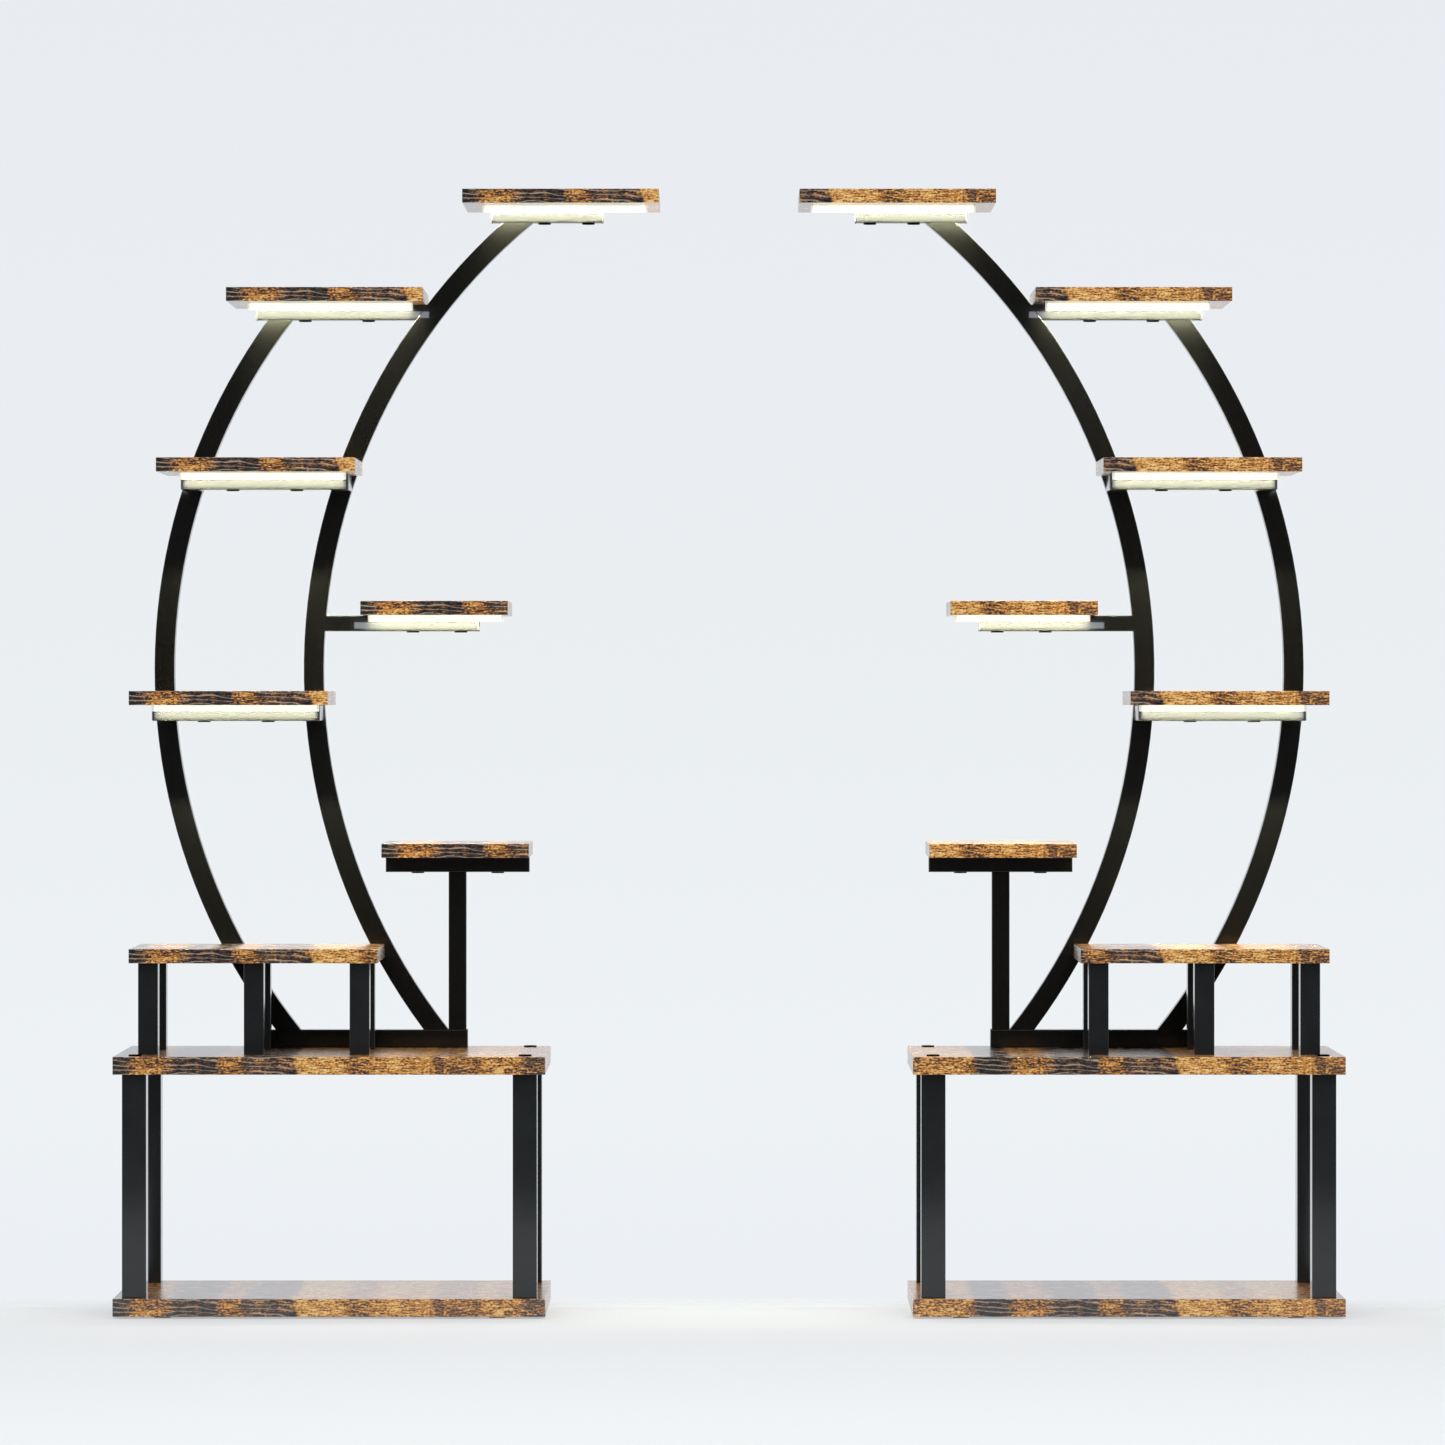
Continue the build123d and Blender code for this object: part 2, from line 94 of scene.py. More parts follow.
def finish(piece, node_name, material):
    """Names a finished piece, gives it its material, and lets it stand for its CAD node."""
    piece.name = node_name + "_dressed"
    piece.data.name = piece.name
    piece.data.materials.clear()
    piece.data.materials.append(material)
    only(piece)
    bpy.ops.object.shade_smooth_by_angle(angle=sharp_angle)
    # Large flat faces keep their own direction, and only the rounded edges turn
    weigh = piece.modifiers.new("weigh", "WEIGHTED_NORMAL")
    weigh.weight = 100
    weigh.keep_sharp = True
    bpy.ops.object.modifier_apply(modifier="weigh")
    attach(piece, "root")
    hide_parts(node_name)


def whole_copy(node_name):
    """A copy of a CAD node's mesh with its loose triangles joined and its flat faces made whole."""
    piece = bpy.data.objects.new(node_name + "_copy", nodes[node_name].data.copy())
    bpy.context.scene.collection.objects.link(piece)
    edit(piece, "VERT")
    bpy.ops.mesh.select_all(action="SELECT")
    bpy.ops.mesh.remove_doubles(threshold=touch)
    bpy.ops.mesh.dissolve_limited(angle_limit=flat_angle)
    close(piece)
    return piece


def round_edges(piece, chosen, radius, steps):
    """Rounds the outward edges of a piece that a test picks."""
    shape = edit(piece, "EDGE")
    for line in shape.edges:
        if len(line.link_faces) == 2 and line.is_convex and line.calc_face_angle() > corner_angle:
            line.select_set(chosen(line))
    bpy.ops.mesh.bevel(offset=radius, segments=steps, profile=0.5, affect="EDGES", clamp_overlap=True)
    close(piece)


def along_axis(axis, shortest):
    """A test for the edges that run along one axis and are longer than a given length."""
    def chosen(line):
        run = line.verts[1].co - line.verts[0].co
        return abs(run[axis]) > mostly * run.length and run.length > shortest
    return chosen


def separate_boxes(node_name, reach=touch):
    """The box of each separate solid of a CAD node, as pairs of lowest and highest corner.

    Solids whose corners lie closer than the reach count as one. The pairs are in the order of their
    lowest corners, from left to right, so that they come in the same order on every run.
    """
    shape = bmesh.new()
    shape.from_mesh(nodes[node_name].data)
    bmesh.ops.remove_doubles(shape, verts=shape.verts, dist=reach)
    left = set(shape.verts)
    found = []
    while left:
        group, front = [], [left.pop()]
        while front:
            vertex = front.pop()
            group.append(vertex.co.copy())
            for line in vertex.link_edges:
                other = line.other_vert(vertex)
                if other in left:
                    left.discard(other)
                    front.append(other)
        found.append((
            Vector([min(p[i] for p in group) for i in range(3)]),
            Vector([max(p[i] for p in group) for i in range(3)]),
        ))
    shape.free()
    return sorted(found, key=lambda box: tuple(box[0]))


def own_copy(model):
    """A selected copy of a piece, with its own mesh."""
    copy = model.copy()
    copy.data = model.data.copy()
    bpy.context.scene.collection.objects.link(copy)
    only(copy)
    return copy


def joined(copies):
    """The copies joined to one piece."""
    only(copies[0])
    for copy in copies:
        copy.select_set(True)
    bpy.ops.object.join()
    return copies[0]


# Materials

def node(tree, kind, settings=None, links=None, stops=()):
    """Adds a node with its settings, and links its sockets to other nodes' sockets or values."""
    made = tree.nodes.new(kind)
    for key, value in (settings or {}).items():
        setattr(made, key, value)
    for key, value in (links or {}).items():
        if isinstance(value, bpy.types.NodeSocket):
            tree.links.new(value, made.inputs[key])
        else:
            made.inputs[key].default_value = value
    for i, (place, colour) in enumerate(stops):
        stop = made.color_ramp.elements[i] if i < 2 else made.color_ramp.elements.new(place)
        stop.position = place
        stop.color = linear(colour) if isinstance(colour, str) else [colour] * 3 + [1.0]
    return made


def new_material(name):
    """An empty material with one Principled shader wired to its output."""
    material = bpy.data.materials.new(name)
    material.use_nodes = True
    tree = material.node_tree
    tree.nodes.clear()
    shader = node(tree, "ShaderNodeBsdfPrincipled")
    node(tree, "ShaderNodeOutputMaterial", {}, {"Surface": shader.outputs["BSDF"]})
    return material, tree, shader


def powder_coat(name, colour, deep, roughness):
    """Powder-coated steel: a black baked coat with a fine orange peel and a thin gloss on top.

    The gloss shows where a face is seen almost edge-on: there it turns nearly white.
    """
    material, tree, shader = new_material(name)
    place = node(tree, "ShaderNodeTexCoord").outputs["Object"]
    # Grains 1.2 mm apart, a little coarser than the real ones so that they show
    grain = node(tree, "ShaderNodeTexNoise", {}, {"Vector": place, "Scale": 1 / (1.2 * mm), "Detail": 2.0})
    cloud = node(tree, "ShaderNodeTexNoise", {}, {"Vector": place, "Scale": 1 / (60 * mm), "Detail": 3.0})
    tone = node(
        tree, "ShaderNodeValToRGB", {}, {"Fac": cloud.outputs["Fac"]}, [(0.35, deep), (0.65, colour)]
    )
    polish = node(
        tree, "ShaderNodeMapRange", {},
        {"Value": cloud.outputs["Fac"], "To Min": roughness - 0.04, "To Max": roughness + 0.04},
    )
    bump = node(
        tree, "ShaderNodeBump", {},
        {"Height": grain.outputs["Fac"], "Strength": 0.12, "Distance": 0.05 * mm},
    )
    tree.links.new(tone.outputs["Color"], shader.inputs["Base Color"])
    tree.links.new(polish.outputs["Result"], shader.inputs["Roughness"])
    tree.links.new(bump.outputs["Normal"], shader.inputs["Normal"])
    shader.inputs["Specular IOR Level"].default_value = 0.16
    shader.inputs["Coat Weight"].default_value = 1.0
    shader.inputs["Coat Roughness"].default_value = 0.12
    return material


frame_steel = powder_coat("powder_coated_steel_black", "#050504", "#030302", 0.62)
post_steel = powder_coat("powder_coated_steel_slate", "#1f2224", "#181b1d", 0.42)


def rustic_board():
    """Melamine-faced particle board, printed as old planks: slate-stained ones beside golden ones."""
    material, tree, shader = new_material("melamine_faced_board_rustic")
    # The piece's own attribute holds the place on the print: along, across and up, in metres
    place = node(tree, "ShaderNodeAttribute", {"attribute_name": "print_place"}).outputs["Vector"]
    parts = node(tree, "ShaderNodeSeparateXYZ", {}, {0: place}).outputs

    # The print's features are drawn out along the plank: blots and specks twice, streaks six times
    blot_place = node(
        tree, "ShaderNodeVectorMath", {"operation": "MULTIPLY"}, {0: place, 1: (1 / 2, 1, 1)}
    ).outputs["Vector"]
    streak_place = node(
        tree, "ShaderNodeVectorMath", {"operation": "MULTIPLY"}, {0: place, 1: (1 / 6, 1, 1)}
    ).outputs["Vector"]
    blots = node(
        tree, "ShaderNodeTexNoise", {},
        {"Vector": blot_place, "Scale": 1 / (12 * mm), "Detail": 5.0, "Roughness": 0.72},
    ).outputs["Fac"]
    streaks = node(
        tree, "ShaderNodeTexNoise", {},
        {"Vector": streak_place, "Scale": 1 / (2.4 * mm), "Detail": 3.0, "Roughness": 0.6},
    ).outputs["Fac"]
    specks = node(
        tree, "ShaderNodeTexNoise", {},
        {"Vector": blot_place, "Scale": 1 / (2.0 * mm), "Detail": 2.0, "Roughness": 0.6},
    ).outputs["Fac"]

    # How golden each plank is, from 150 mm before the print's start to 650 mm after it
    reach = node(
        tree, "ShaderNodeMapRange", {},
        {"Value": parts["X"], "From Min": -0.15, "From Max": 0.65},
    ).outputs["Result"]
    wander = node(tree, "ShaderNodeMath", {"operation": "MULTIPLY_ADD"}, {0: blots, 1: 0.05, 2: reach})
    plank = node(tree, "ShaderNodeValToRGB", {}, {"Fac": wander.outputs["Value"]}, [
        (0.0, 0.80), (0.17, 0.78), (0.185, 0.26), (0.232, 0.30), (0.245, 0.70), (0.295, 0.72),
        (0.32, 0.36), (0.392, 0.36), (0.4, 0.70), (0.434, 0.68), (0.446, 0.42), (0.526, 0.44),
        (0.532, 0.90), (0.61, 0.88), (0.625, 0.68), (0.66, 0.70), (0.675, 0.86), (0.76, 0.84),
        (0.78, 0.64), (0.84, 0.66), (0.86, 0.84), (0.91, 0.80), (0.93, 0.60), (1.0, 0.5),
    ]).outputs["Color"]

    # The blots, streaks and specks break each plank up, each by its own strength
    worn = plank
    for pattern, strength in ((blots, 1.2), (streaks, 2.0), (specks, 1.8)):
        worn = node(
            tree, "ShaderNodeMath", {"operation": "MULTIPLY_ADD"}, {0: pattern, 1: strength, 2: worn}
        ).outputs["Value"]
    golden = node(
        tree, "ShaderNodeMapRange", {}, {"Value": worn, "From Min": 2.57, "From Max": 3.77}
    ).outputs["Result"]
    tone = node(tree, "ShaderNodeValToRGB", {}, {"Fac": golden}, [
        (0.0, "#131112"), (0.2, "#2a272a"), (0.34, "#463832"), (0.44, "#6f4424"),
        (0.54, "#b06c28"), (0.68, "#dd9a44"), (0.82, "#f1bd6a"), (1.0, "#f9d896"),
    ]).outputs["Color"]

    # Thin pale grain lines wind along the slate planks, 7 mm apart and broken up by the blots
    sway = node(
        tree, "ShaderNodeTexNoise", {},
        {"Vector": blot_place, "Scale": 1 / (22 * mm), "Detail": 1.0, "Roughness": 0.4},
    ).outputs["Fac"]
    height = parts["Z"]
    for pattern, climb in ((sway, 15 * mm), (parts["X"], 0.05)):
        height = node(
            tree, "ShaderNodeMath", {"operation": "MULTIPLY_ADD"}, {0: pattern, 1: climb, 2: height}
        ).outputs["Value"]
    stripe = node(tree, "ShaderNodeMath", {"operation": "PINGPONG"}, {0: height, 1: 3.5 * mm})
    line = node(
        tree, "ShaderNodeMapRange", {},
        {"Value": stripe.outputs["Value"], "From Min": 1.0 * mm, "From Max": 0.4 * mm, "To Max": 0.7},
    )
    bare = node(
        tree, "ShaderNodeMapRange", {}, {"Value": plank, "From Min": 0.7, "From Max": 0.5}
    )
    broken = node(
        tree, "ShaderNodeMapRange", {}, {"Value": blots, "From Min": 0.36, "From Max": 0.52}
    )
    pale = line.outputs["Result"]
    for part in (bare, broken):
        pale = node(
            tree, "ShaderNodeMath", {"operation": "MULTIPLY"}, {0: pale, 1: part.outputs["Result"]}
        ).outputs["Value"]
    colour = node(
        tree, "ShaderNodeMix", {"data_type": "RGBA"}, {"Factor": pale, 6: tone, 7: linear("#c6b59f")}
    ).outputs[2]

    # Satin print under a clear, smooth wear layer
    polish = node(
        tree, "ShaderNodeMapRange", {}, {"Value": blots, "To Min": 0.4, "To Max": 0.5}
    ).outputs["Result"]
    bump = node(
        tree, "ShaderNodeBump", {}, {"Height": specks, "Strength": 0.15, "Distance": 0.08 * mm}
    ).outputs["Normal"]
    tree.links.new(colour, shader.inputs["Base Color"])
    tree.links.new(polish, shader.inputs["Roughness"])
    tree.links.new(bump, shader.inputs["Normal"])
    shader.inputs["Specular IOR Level"].default_value = 0.3
    shader.inputs["Coat Weight"].default_value = 1.0
    shader.inputs["Coat Roughness"].default_value = 0.22
    shader.inputs["Coat IOR"].default_value = 1.65
    return material


board_face = rustic_board()


def plain_finish(name, colour, roughness, metallic=0.0):
    """A finish of one colour, a little cloudy, with a fine surface grit."""
    material, tree, shader = new_material(name)
    place = node(tree, "ShaderNodeTexCoord").outputs["Object"]
    cloud = node(tree, "ShaderNodeTexNoise", {}, {"Vector": place, "Scale": 1 / (8 * mm), "Detail": 2.0})
    grit = node(tree, "ShaderNodeTexNoise", {}, {"Vector": place, "Scale": 1 / (0.8 * mm), "Detail": 1.0})
    full = linear(colour)
    dim = [0.88 * c for c in full[:3]] + [1.0]
    shade = node(
        tree, "ShaderNodeMapRange", {}, {"Value": cloud.outputs["Fac"], "From Min": 0.3, "From Max": 0.7}
    )
    tone = node(
        tree, "ShaderNodeMix", {"data_type": "RGBA"}, {"Factor": shade.outputs["Result"], 6: dim, 7: full}
    )
    bump = node(
        tree, "ShaderNodeBump", {},
        {"Height": grit.outputs["Fac"], "Strength": 0.15, "Distance": 0.03 * mm},
    )
    tree.links.new(tone.outputs[2], shader.inputs["Base Color"])
    tree.links.new(bump.outputs["Normal"], shader.inputs["Normal"])
    shader.inputs["Roughness"].default_value = roughness
    shader.inputs["Metallic"].default_value = metallic
    return material, shader


# Blackened steel bolts are dull black, and zinc-plated screws shine a soft grey. The polyethylene
# plugs are satin black and the rubber pads matt. The diodes' board is a plain satin white, and the
# anodised channel behind it has a silky silver look.
bolt_steel, shader = plain_finish("blackened_steel", "#030302", 0.6)
shader.inputs["Specular IOR Level"].default_value = 0.0
zinc, _ = plain_finish("zinc_plated_steel", "#b9bcbf", 0.38, 1.0)
plug_plastic, _ = plain_finish("polyethylene_black", "#101010", 0.5)
pad_rubber, _ = plain_finish("rubber_black", "#141414", 0.85)
circuit_board, _ = plain_finish("circuit_board_white", "#e9e9e4", 0.45)
channel_metal, _ = plain_finish("anodised_aluminium", "#c9cbcd", 0.35, 1.0)

# The bars' white end caps let a little of the light through
cap_plastic, shader = plain_finish("abs_white", "#efefec", 0.4)
shader.inputs["Emission Color"].default_value = linear("#fbfdf0")
shader.inputs["Emission Strength"].default_value = 0.4

# Opal polycarbonate over the diodes: milky, and lit from inside so that it reads as pure white
opal, shader = plain_finish("opal_polycarbonate", "#f6f6f2", 0.35)
shader.inputs["Emission Color"].default_value = linear("#fbffe6")
shader.inputs["Emission Strength"].default_value = 0.8


# Boards and shelves: the CAD shapes with their edges eased and their place on the print

board_names = (
    "base_board", "bench_board", "riser_board", "top_shelf", "second_shelf", "third_shelf",
    "fourth_shelf", "side_shelf", "column_shelf",
)
board_ease = 0.8 * mm
# Where on the print the right-hand stand's boards end
print_end = 492 * mm
# A board's ends, with their eased edges, face sideways by more than this
end_facing = 0.8

for side in sides:
    for name in board_names:
        source = side + "_" + name
        low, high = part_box(source)
        board = whole_copy(source)

        def outer(line):
            """True for the edges along the board's own box."""
            a, b = line.verts[0].co, line.verts[1].co
            flush = 0
            for axis in range(3):
                for level in (low[axis], high[axis]):
                    if abs(a[axis] - level) < touch and abs(b[axis] - level) < touch:
                        flush += 1
            return flush == 2

        round_edges(board, outer, board_ease, 2)
        # The left-hand stand's boards start on the print at their left end, and the right-hand
        # stand's boards end on it at their right end. On the ends the print runs from front to back.
        start = low[0] if side == "left" else high[0] - print_end
        places = board.data.attributes.new("print_place", "FLOAT_VECTOR", "CORNER")
        for face in board.data.polygons:
            end = abs(face.normal.x) > end_facing
            for i in face.loop_indices:
                x, y, z = board.data.vertices[board.data.loops[i].vertex_index].co
                along, across = (y - low[1], x - start) if end else (x - start, y - low[1])
                places.data[i].vector = (along, across, z - low[2])
        finish(board, source, board_face)


# Steel tubes: the CAD shapes with the round corners of drawn box tube along them

tube_radius = 1.3 * mm
tube_steps = 3
# A straight tube's corner lines are longer than this, and the edges of its holes and walls shorter
shortest_line = 12 * mm
# An arc's corner lines climb more than this from point to point, and its cut ends are level
least_climb = 0.5 * mm
# A bracket's sides are taller than this, and the walls of its bolt holes lower
least_side = 15 * mm


def dress_tube(source, chosen, coat):
    """Rounds the corner lines of a tube that a test picks, and gives the tube its coat."""
    tube = whole_copy(source)
    round_edges(tube, chosen, tube_radius, tube_steps)
    finish(tube, source, coat)


for side in sides:
    for name in ("front_outer_post", "front_inner_post", "rear_outer_post", "rear_inner_post", "riser_legs"):
        dress_tube(side + "_" + name, along_axis(2, shortest_line), post_steel)
    dress_tube(side + "_column", along_axis(2, shortest_line), frame_steel)
    for name in ("frame_rail", "top_beam", "second_beam", "side_arm", "column_beam"):
        dress_tube(side + "_" + name, along_axis(0, shortest_line), frame_steel)

# Bent tubes: the two arcs run up and down, and the U brackets lie flat
for side in sides:
    for name in ("inner_arc", "outer_arc"):
        low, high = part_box(side + "_" + name)

        def curved(line):
            """True for the arc's four outer corner lines."""
            a, b = line.verts[0].co, line.verts[1].co
            front = all(abs(v.y - low[1]) < touch for v in (a, b))
            back = all(abs(v.y - high[1]) < touch for v in (a, b))
            return (front or back) and abs(a.z - b.z) > least_climb

        dress_tube(side + "_" + name, curved, frame_steel)
    for name in ("third_bracket", "fourth_bracket"):
        low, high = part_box(side + "_" + name)

        def rim(line):
            """True for the upper and lower outer edges along the bent tube."""
            a, b = line.verts[0].co, line.verts[1].co
            level = any(abs(a.z - z) < touch and abs(b.z - z) < touch for z in (low[2], high[2]))
            rear = abs(a.y - high[1]) < touch and abs(b.y - high[1]) < touch
            wall = max(
                max(v.co.z for v in face.verts) - min(v.co.z for v in face.verts)
                for face in line.link_faces
            )
            return level and not rear and wall > least_side

        dress_tube(side + "_" + name, rim, frame_steel)


# Button-head bolts: one is modelled standing head up, and copied to each place

head_radius = 9.1 * mm
head_height = 3.4 * mm
head_dome = 1.9 * mm
# The head stands this far out from its shank
head_overhang = 6.3 * mm
socket_radius = 2.9 * mm
socket_depth = 1.8 * mm
# The shank ends this far inside the CAD bolt's end
shank_short = 0.2 * mm


def button_bolt(reach):
    """A button-head bolt with a hexagon socket, its seat at the origin and its head on top."""
    bpy.ops.object.select_all(action="DESELECT")
    bpy.ops.mesh.primitive_cylinder_add(
        vertices=32, radius=head_radius, depth=head_height, location=(0, 0, head_height / 2)
    )
    bolt = bpy.context.object
    # The head's upper rim is domed
    shape = edit(bolt, "EDGE")
    for line in shape.edges:
        line.select_set(all(v.co.z > head_height - touch for v in line.verts))
    bpy.ops.mesh.bevel(offset=head_dome, segments=4, profile=0.55, affect="EDGES")
    # The shank goes down from the seat
    shape = bmesh.from_edit_mesh(bolt.data)
    bpy.ops.mesh.select_mode(type="FACE")
    bpy.ops.mesh.select_all(action="DESELECT")
    for face in shape.faces:
        face.select_set(face.normal.z < -facing and face.calc_center_median().z < touch)
    bpy.ops.mesh.inset(thickness=head_overhang, depth=0)
    bpy.ops.mesh.extrude_region_move(TRANSFORM_OT_translate={"value": (0, 0, -reach)})
    close(bolt)
    # The socket is cut into the head with a hexagon bar
    bpy.ops.object.select_all(action="DESELECT")
    bpy.ops.mesh.primitive_cylinder_add(
        vertices=6, radius=socket_radius, depth=2 * socket_depth, location=(0, 0, head_height)
    )
    bar = bpy.context.object
    only(bolt)
    cut = bolt.modifiers.new("socket", "BOOLEAN")
    cut.operation = "DIFFERENCE"
    cut.object = bar
    bpy.ops.object.modifier_apply(modifier="socket")
    bpy.data.objects.remove(bar)
    return bolt


def place_bolts(source, head_up):
    """Copies the bolt to each place of a CAD node and joins the copies."""
    boxes = separate_boxes(source)
    tall = boxes[0][1].z - boxes[0][0].z
    model = button_bolt(tall - head_height - shank_short)
    copies = []
    for low, high in boxes:
        middle = (low + high) / 2
        copy = own_copy(model)
        if head_up:
            copy.location = (middle.x, middle.y, high.z - head_height)
        else:
            copy.rotation_euler = (pi, 0, 0)
            copy.location = (middle.x, middle.y, low.z + head_height)
        bpy.ops.object.transform_apply(location=True, rotation=True, scale=True)
        copies.append(copy)
    bpy.data.objects.remove(model)
    finish(joined(copies), source, bolt_steel)


place_bolts("shelf_bolts", False)
place_bolts("rail_bolts", False)
place_bolts("bench_bolts", True)


# Light bars: the opal diffuser is a trough, open at the top and closed at both ends by the caps

diffuser_wall = 1.2 * mm
diffuser_corner = 2.5 * mm
diffuser_ease = 0.5 * mm
# The trough is modelled one metre long, so its long edges are longer than half a metre
half_length = 0.5
# The three walls of a CAD diffuser are strips 0.1 mm apart, which count as one here
strip_reach = 0.3 * mm
bars = separate_boxes("light_diffusers", strip_reach)


def trough(depth, height):
    """A diffuser one metre long, with its top at the origin and both lower corners cut off."""
    bpy.ops.object.select_all(action="DESELECT")
    bpy.ops.mesh.primitive_cube_add(size=1, location=(0, 0, -height / 2))
    piece = bpy.context.object
    piece.scale = (1, depth, height)
    bpy.ops.object.transform_apply(location=True, rotation=True, scale=True)
    shape = edit(piece, "EDGE")
    for line in shape.edges:
        lower = all(v.co.z < -height + touch for v in line.verts)
        line.select_set(lower and line.calc_length() > half_length)
    bpy.ops.mesh.bevel(offset=diffuser_corner, segments=1, affect="EDGES")
    # The open top and ends
    shape = bmesh.from_edit_mesh(piece.data)
    shape.normal_update()
    bpy.ops.mesh.select_mode(type="FACE")
    bpy.ops.mesh.select_all(action="DESELECT")
    for face in shape.faces:
        face.select_set(face.normal.z > facing or abs(face.normal.x) > facing)
    bpy.ops.mesh.delete(type="FACE")
    close(piece)
    wall = piece.modifiers.new("wall", "SOLIDIFY")
    wall.thickness = diffuser_wall
    wall.offset = -1
    wall.use_even_offset = True
    bpy.ops.object.modifier_apply(modifier="wall")
    round_edges(piece, along_axis(0, half_length), diffuser_ease, 2)
    return piece


model = trough(bars[0][1].y - bars[0][0].y, bars[0][1].z - bars[0][0].z)
copies = []
for low, high in bars:
    copy = own_copy(model)
    copy.scale = (high.x - low.x, 1, 1)
    copy.location = ((low.x + high.x) / 2, (low.y + high.y) / 2, high.z)
    bpy.ops.object.transform_apply(location=True, rotation=True, scale=True)
    copies.append(copy)
bpy.data.objects.remove(model)
finish(joined(copies), "light_diffusers", opal)


# Tube plugs: each flange has the round corners of its tube

# A plug's flange is thinner than this
thickest_flange = 2 * mm
plugs = whole_copy("tube_plugs")


def flange_corner(line):
    """True for the four short corner edges of each plug's flange."""
    run = line.verts[1].co - line.verts[0].co
    return abs(run.x) > mostly * run.length and run.length < thickest_flange


round_edges(plugs, flange_corner, tube_radius, tube_steps)
finish(plugs, "tube_plugs", plug_plastic)

# Pieces whose CAD shape is right keep it and get their finish
for source, material in (
    ("light_channels", channel_metal), ("led_strips", circuit_board), ("light_end_caps", cap_plastic),
    ("base_screws", zinc), ("riser_screws", zinc), ("riser_studs", zinc), ("foot_pads", pad_rubber),
):
    nodes[source].data.materials.clear()
    nodes[source].data.materials.append(material)


# Floor and background of the studio

floor_middle = -0.6
floor_width = 14
floor_depth = 3.2
# The floor fades into the background between these two places, front to back
fade_start = -0.12
fade_end = 0.22
# Strength of the floor's seen light, and of the plain light that the background gives
floor_paleness = 0.43
plain_level = 0.75

bpy.ops.object.select_all(action="DESELECT")
bpy.ops.mesh.primitive_plane_add(size=1, location=(0, floor_middle, 0))
floor = bpy.context.object
floor.name = "studio_floor"
floor.scale = (floor_width, floor_depth, 1)
bpy.ops.object.transform_apply(location=True, rotation=True, scale=True)


def seen_rays(tree):
    """One for the rays that show the background: the camera's, reflected ones and those through glass."""
    path = node(tree, "ShaderNodeLightPath").outputs
    ray = node(
        tree, "ShaderNodeMath", {"operation": "MAXIMUM"},
        {0: path["Is Camera Ray"], 1: path["Is Glossy Ray"]},
    )
    return node(
        tree, "ShaderNodeMath", {"operation": "MAXIMUM"},
        {0: ray.outputs["Value"], 1: path["Is Transmission Ray"]},
    ).outputs["Value"]


# A grey floor that takes the shadows, and shows the rest of its paleness as seen light
material, tree, shader = new_material("matt_studio_floor")
shader.inputs["Base Color"].default_value = linear("#aaadaf")
shader.inputs["Roughness"].default_value = 0.9
shader.inputs["Emission Color"].default_value = linear("#fafcff")
shown = node(tree, "ShaderNodeMath", {"operation": "MULTIPLY"}, {0: seen_rays(tree), 1: floor_paleness})
tree.links.new(shown.outputs["Value"], shader.inputs["Emission Strength"])
place = node(tree, "ShaderNodeTexCoord").outputs["Object"]
depth = node(tree, "ShaderNodeSeparateXYZ", {}, {0: place}).outputs["Y"]
# The floor's far edge fades into the background
fade = node(
    tree, "ShaderNodeMapRange", {"interpolation_type": "SMOOTHSTEP"},
    {"Value": depth, "From Min": fade_start, "From Max": fade_end},
)
clear = node(tree, "ShaderNodeBsdfTransparent")
blend = node(
    tree, "ShaderNodeMixShader", {},
    {0: fade.outputs["Result"], 1: shader.outputs["BSDF"], 2: clear.outputs["BSDF"]},
)
tree.links.new(blend.outputs["Shader"], tree.nodes["Material Output"].inputs["Surface"])
floor.data.materials.append(material)

# The studio is pale all round, and gives a plain light. Glossy faces show it dark on the side that
# the stands face.
world = bpy.data.worlds.new("studio")
bpy.context.scene.world = world
world.use_nodes = True
tree = world.node_tree
tree.nodes.clear()
direction = node(tree, "ShaderNodeTexCoord").outputs["Generated"]
toward = node(tree, "ShaderNodeSeparateXYZ", {}, {0: direction}).outputs
# Its tone changes a little from 6 degrees below eye level to 6 degrees above it
share = node(tree, "ShaderNodeMapRange", {}, {"Value": toward["Z"], "From Min": -0.11, "From Max": 0.11})
backdrop = node(tree, "ShaderNodeValToRGB", {}, {"Fac": share.outputs["Result"]}, [
    (0.0, "#eff0f2"), (0.12, "#ecf0f4"), (0.24, "#eef2f5"), (0.5, "#ebeff2"), (1.0, "#e8ebf0"),
])
away = node(
    tree, "ShaderNodeMapRange", {},
    {"Value": toward["Y"], "From Min": -0.8, "From Max": 0.6, "To Min": 0.02, "To Max": 1.0},
)
looked_at = node(tree, "ShaderNodeLightPath").outputs["Is Camera Ray"]
paleness = node(
    tree, "ShaderNodeMath", {"operation": "MAXIMUM"}, {0: away.outputs["Result"], 1: looked_at}
)
seen = node(
    tree, "ShaderNodeBackground", {},
    {"Color": backdrop.outputs["Color"], "Strength": paleness.outputs["Value"]},
)
plain_light = node(
    tree, "ShaderNodeBackground", {}, {"Color": linear("#ffffff"), "Strength": plain_level}
)
sky = node(
    tree, "ShaderNodeMixShader", {},
    {0: seen_rays(tree), 1: plain_light.outputs["Background"], 2: seen.outputs["Background"]},
)
node(tree, "ShaderNodeOutputWorld", {}, {"Surface": sky.outputs["Shader"]})


# Lamps

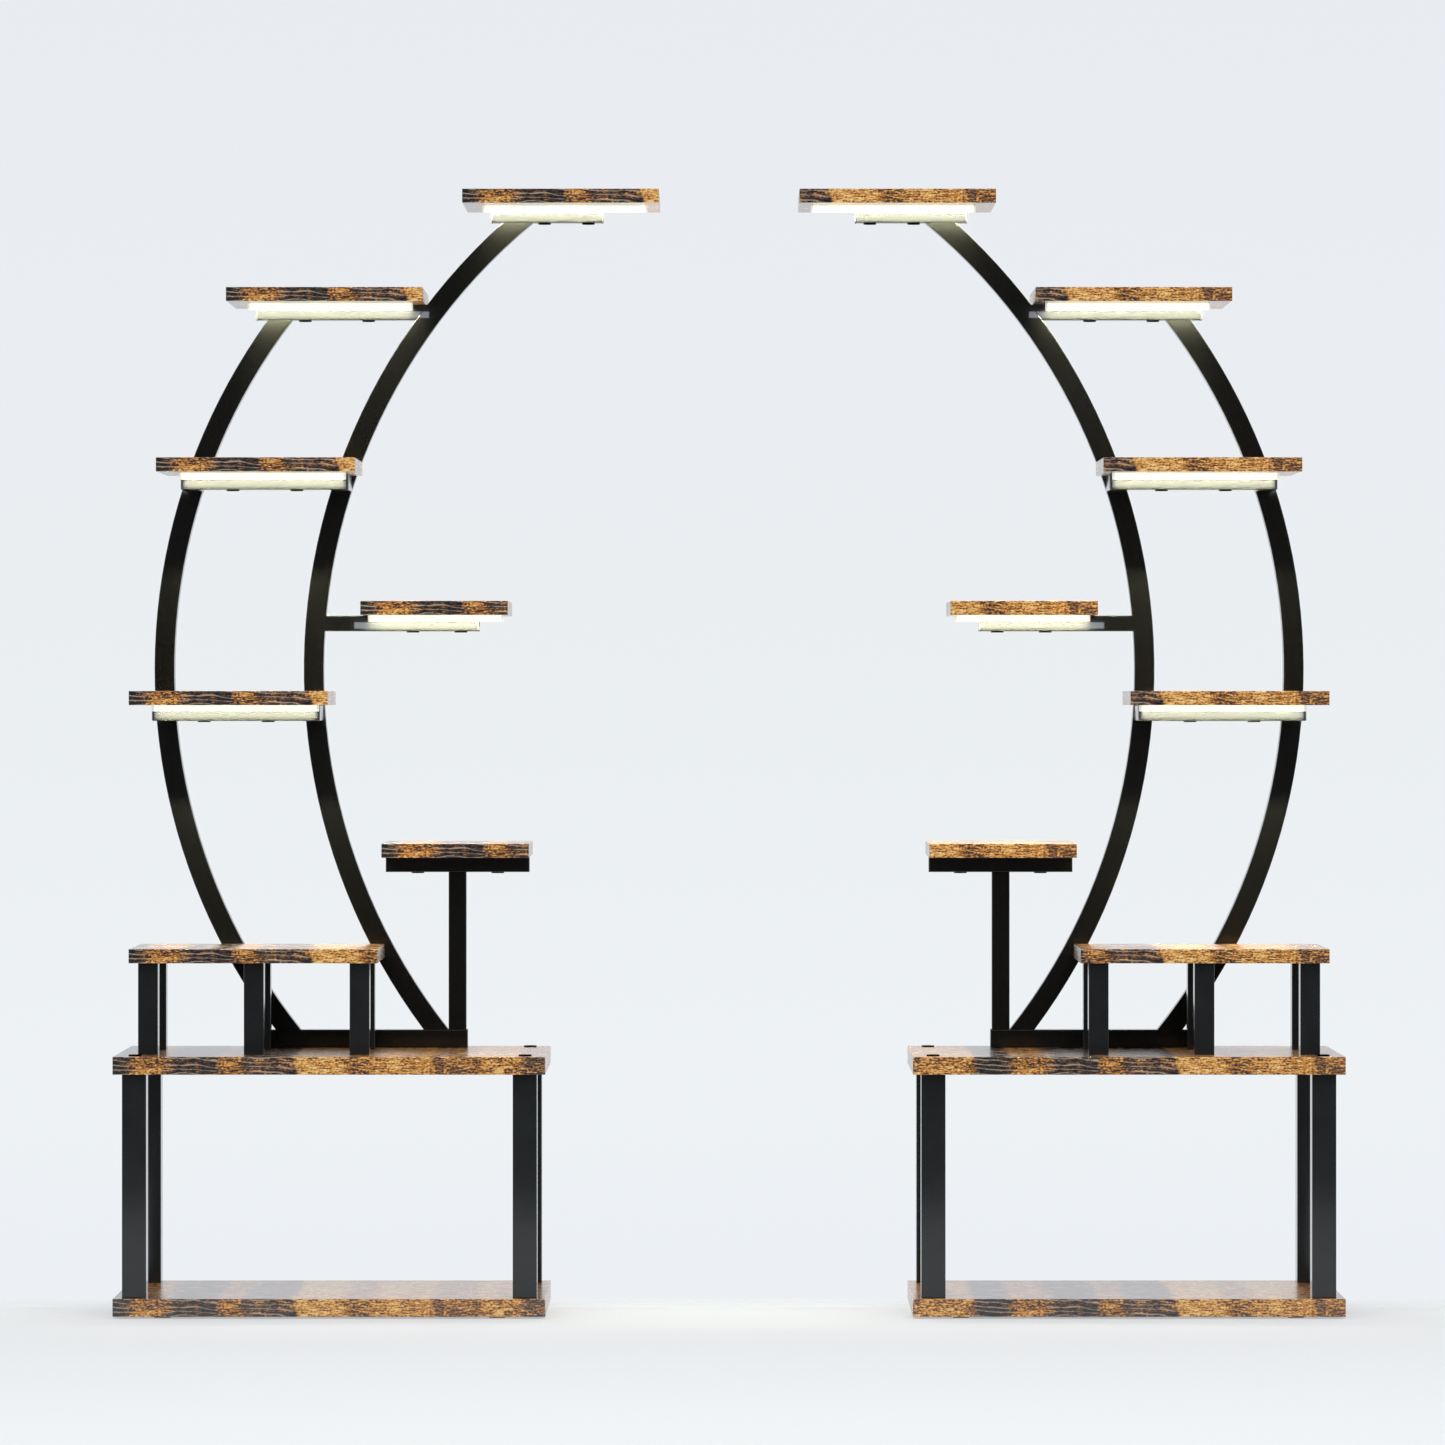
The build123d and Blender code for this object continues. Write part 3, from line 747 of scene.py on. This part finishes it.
def soft_lamp(name, place, target, width, depth, power, colour="#ffffff", spread=180):
    """A rectangular area lamp that faces a point."""
    lamp = bpy.data.lights.new(name, "AREA")
    lamp.shape = "RECTANGLE"
    lamp.size = width
    lamp.size_y = depth
    lamp.energy = power
    lamp.color = linear(colour)[:3]
    lamp.spread = radians(spread)
    stand = bpy.data.objects.new(name, lamp)
    stand.location = place
    stand.rotation_euler = (Vector(target) - Vector(place)).to_track_quat("-Z", "Y").to_euler()
    bpy.context.scene.collection.objects.link(stand)
    return stand


# One lamp over the floor in front of the stands, and a broad one in front of them at each side
soft_lamp("lamp_above", (0, -2.4, 3.2), (0, -1.5, 0), 3.0, 2.0, 14, spread=100)
soft_lamp("lamp_left", (-3.0, -3.6, 1.9), (0, 0, 0.8), 3.0, 3.0, 22.5)
soft_lamp("lamp_right", (3.0, -3.6, 1.9), (0, 0, 0.8), 3.0, 3.0, 26)

# The light bars' own glow, from lamps that the camera doesn't see. One shines straight down on the
# board below, one from the diffuser's rear edge down past the beam to the arcs, and one on the beam.
# The first two are as long as the bar, and the last one reaches past it to the beam's ends.
lamp_gap = 1 * mm
beam_reach = 50 * mm

for i, (low, high) in enumerate(bars):
    middle = (low + high) / 2
    length = high.x - low.x
    under = Vector((middle.x, middle.y, low.z - lamp_gap / 2))
    rear = Vector((middle.x, high.y + 1.1 * lamp_gap, low.z + diffuser_corner))
    level = Vector((middle.x, high.y + lamp_gap, low.z - 5 * lamp_gap))
    for name, place, heading, width, depth, power, colour, spread in (
        ("down", under, (0, 0, -1), length, 12 * mm, 0.2, "#fdfadc", 44),
        ("rear", rear, (0, 0.57, -0.82), length, 2 * mm, 1.08, "#fdf9cc", 120),
        ("back", level, (0, 1, 0), length + beam_reach, 9 * mm, 0.042, "#eef6ff", 180),
    ):
        glow = soft_lamp(
            "glow_" + name + "_" + str(i), place, place + Vector(heading), width, depth, power, colour,
            spread,
        )
        glow.visible_camera = False


# Camera at the photograph's place: far away with a long lens, level with the stands' middle

photo_side = 1445
# From the middle of the stands' depth, which is 9.56 m from their front edges
camera_distance = 9.74125
camera_height = 871 * mm
# The photograph's middle lies this many of its pixels to the right of the lens's axis, and above it
middle_right = -6.6
middle_up = -25.5

lens = bpy.data.cameras.new("camera")
lens.sensor_width = 36
lens.lens = 170.1
lens.shift_x = middle_right / photo_side
lens.shift_y = middle_up / photo_side
lens.clip_end = 100
camera = bpy.data.objects.new("camera", lens)
camera.location = (0, -camera_distance, camera_height)
camera.rotation_euler = (pi / 2, 0, 0)
bpy.context.scene.collection.objects.link(camera)
bpy.context.scene.camera = camera
bpy.context.scene.view_settings.view_transform = "Standard"
